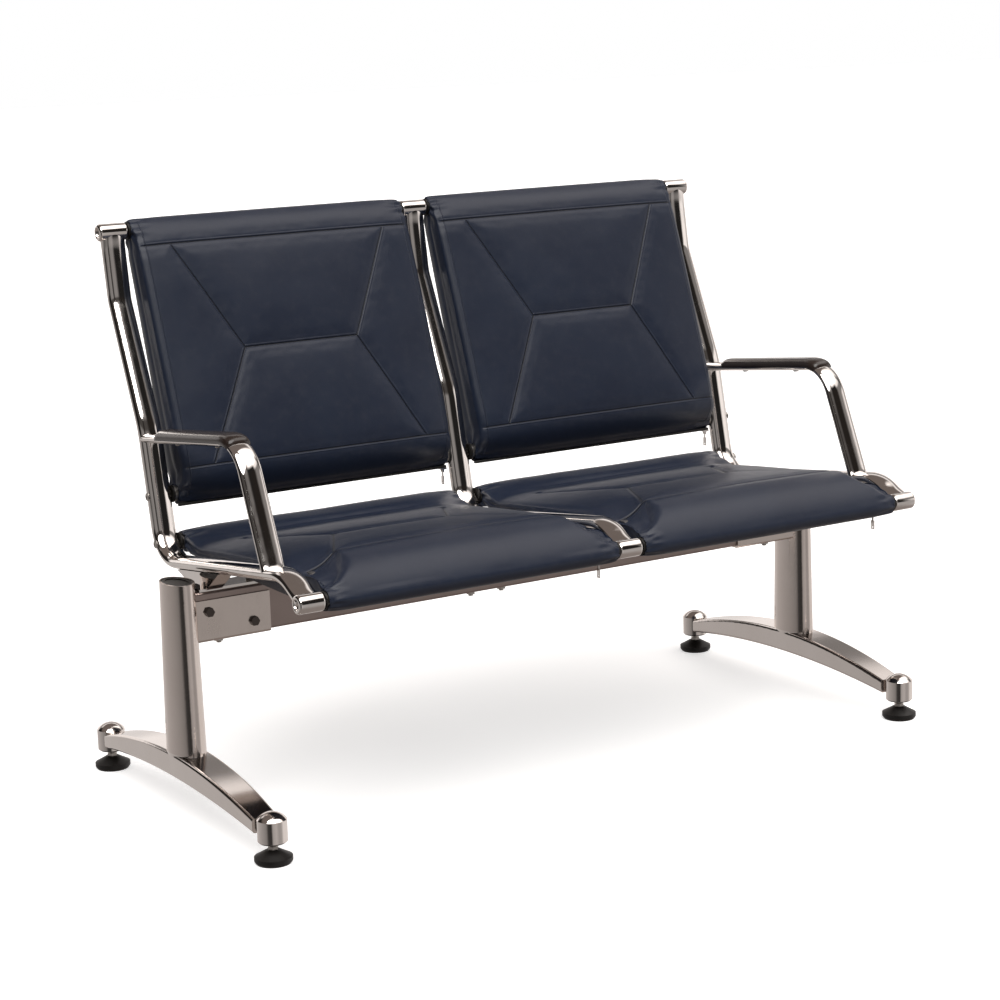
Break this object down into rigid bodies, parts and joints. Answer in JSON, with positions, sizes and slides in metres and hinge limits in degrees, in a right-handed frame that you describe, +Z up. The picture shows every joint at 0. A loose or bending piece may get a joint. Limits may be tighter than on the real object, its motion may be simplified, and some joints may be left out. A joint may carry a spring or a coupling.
{
  "type": "beam seating",
  "caption": "Beam seating with padded navy leather seats and backs on chrome frames, looped armrests and arched feet with levelling glides.",
  "frame": {"origin": "on the floor, under the middle of the bench's box", "axes": "+X along the beam, +Y from the front edge to the back, +Z up"},
  "size_m": [1.229, 0.67, 0.8805],
  "materials": {
    "chrome": "mirror bright plating",
    "column_metal": "polished",
    "foot_metal": "polished",
    "beam_metal": "satin lacquer",
    "inner_steel": "plain",
    "leather": "smooth, semi-gloss",
    "arm_pad": "glossy moulding",
    "black_plastic": "satin"
  },
  "bodies": {
    "bench": {"beam": "beam_metal", "leg_column_left": "column_metal", "leg_column_right": "column_metal", "column_caps": "black_plastic", "foot_left": "foot_metal", "foot_right": "foot_metal", "foot_bolts": "inner_steel", "beam_socket_left": "chrome", "beam_socket_right": "chrome", "socket_screws": "inner_steel", "beam_bolts": "inner_steel", "side_frame_left": "chrome", "side_frame_centre": "chrome", "side_frame_right": "chrome", "front_knuckles": "chrome", "top_knuckles": "chrome", "frame_saddles": "chrome", "armrest_left": "chrome", "armrest_right": "chrome", "arm_pad_left": "arm_pad", "arm_pad_right": "arm_pad", "arm_pad_screws": "inner_steel", "seat_front_tube_left": "inner_steel", "seat_front_tube_right": "inner_steel", "seat_rear_tube_left": "inner_steel", "seat_rear_tube_right": "inner_steel", "back_bottom_tube_left": "inner_steel", "back_bottom_tube_right": "inner_steel", "back_top_tube_left": "inner_steel", "back_top_tube_right": "inner_steel", "tube_bolts": "inner_steel", "spacer_rings": "black_plastic", "seat_board_left": "inner_steel", "seat_board_right": "inner_steel", "back_board_left": "inner_steel", "back_board_right": "inner_steel", "seat_cushion_left": "leather", "seat_cushion_right": "leather", "back_cushion_left": "leather", "back_cushion_right": "leather", "zip_tapes": "black_plastic"},
    "glide_front_left": {"glide_base_front_left": "black_plastic"},
    "stem_front_left": {"glide_stem_front_left": "inner_steel"},
    "glide_front_right": {"glide_base_front_right": "black_plastic"},
    "stem_front_right": {"glide_stem_front_right": "inner_steel"},
    "glide_rear_left": {"glide_base_rear_left": "black_plastic"},
    "stem_rear_left": {"glide_stem_rear_left": "inner_steel"},
    "glide_rear_right": {"glide_base_rear_right": "black_plastic"},
    "stem_rear_right": {"glide_stem_rear_right": "inner_steel"},
    "slider_seat_left": {"zip_slider_seat_left": "chrome"},
    "pull_seat_left": {"zip_pull_seat_left": "chrome"},
    "slider_seat_right": {"zip_slider_seat_right": "chrome"},
    "pull_seat_right": {"zip_pull_seat_right": "chrome"},
    "slider_back_left": {"zip_slider_back_left": "chrome"},
    "pull_back_left": {"zip_pull_back_left": "chrome"},
    "slider_back_right": {"zip_slider_back_right": "chrome"},
    "pull_back_right": {"zip_pull_back_right": "chrome"}
  },
  "joints": [
    {"name": "level_front_left", "type": "slide", "parent": "bench", "child": "glide_front_left", "axis": [0, 0, -1], "range_m": [-0.0045, 0.015]},
    {"name": "turn_front_left", "type": "hinge", "parent": "glide_front_left", "child": "stem_front_left", "pos_m": [-0.5865, -0.26, 0.02], "axis": [0, 0, -1], "range_deg": [-1080, 3600]},
    {"name": "level_front_right", "type": "slide", "parent": "bench", "child": "glide_front_right", "axis": [0, 0, -1], "range_m": [-0.0045, 0.015]},
    {"name": "turn_front_right", "type": "hinge", "parent": "glide_front_right", "child": "stem_front_right", "pos_m": [0.5865, -0.26, 0.02], "axis": [0, 0, -1], "range_deg": [-1080, 3600]},
    {"name": "level_rear_left", "type": "slide", "parent": "bench", "child": "glide_rear_left", "axis": [0, 0, -1], "range_m": [-0.0045, 0.015]},
    {"name": "turn_rear_left", "type": "hinge", "parent": "glide_rear_left", "child": "stem_rear_left", "pos_m": [-0.5865, 0.307, 0.02], "axis": [0, 0, -1], "range_deg": [-1080, 3600]},
    {"name": "level_rear_right", "type": "slide", "parent": "bench", "child": "glide_rear_right", "axis": [0, 0, -1], "range_m": [-0.0045, 0.015]},
    {"name": "turn_rear_right", "type": "hinge", "parent": "glide_rear_right", "child": "stem_rear_right", "pos_m": [0.5865, 0.307, 0.02], "axis": [0, 0, -1], "range_deg": [-1080, 3600]},
    {"name": "zip_seat_left", "type": "slide", "parent": "bench", "child": "slider_seat_left", "axis": [1, 0, 0], "range_m": [-0.46, 0]},
    {"name": "pull_seat_left", "type": "hinge", "parent": "slider_seat_left", "child": "pull_seat_left", "pos_m": [-0.0315, -0.2845, 0.35917], "axis": [0, 1, 0], "range_deg": [-80, 80]},
    {"name": "zip_seat_right", "type": "slide", "parent": "bench", "child": "slider_seat_right", "axis": [1, 0, 0], "range_m": [-0.46, 0]},
    {"name": "pull_seat_right", "type": "hinge", "parent": "slider_seat_right", "child": "pull_seat_right", "pos_m": [0.5085, -0.2845, 0.35917], "axis": [0, 1, 0], "range_deg": [-80, 80]},
    {"name": "zip_back_left", "type": "slide", "parent": "bench", "child": "slider_back_left", "axis": [1, 0, 0], "range_m": [-0.46, 0]},
    {"name": "pull_back_left", "type": "hinge", "parent": "slider_back_left", "child": "pull_back_left", "pos_m": [-0.0345, 0.16059, 0.43839], "axis": [0, 1, 0], "range_deg": [-30, 80]},
    {"name": "zip_back_right", "type": "slide", "parent": "bench", "child": "slider_back_right", "axis": [1, 0, 0], "range_m": [-0.46, 0]},
    {"name": "pull_back_right", "type": "hinge", "parent": "slider_back_right", "child": "pull_back_right", "pos_m": [0.5055, 0.16059, 0.43839], "axis": [0, 1, 0], "range_deg": [-30, 80]}
  ],
  "couplings": [
    {"joint": "turn_front_left", "follows": "level_front_left", "rad_per_m": 4188.8},
    {"joint": "turn_front_right", "follows": "level_front_right", "rad_per_m": 4188.8},
    {"joint": "turn_rear_left", "follows": "level_rear_left", "rad_per_m": 4188.8},
    {"joint": "turn_rear_right", "follows": "level_rear_right", "rad_per_m": 4188.8}
  ]
}
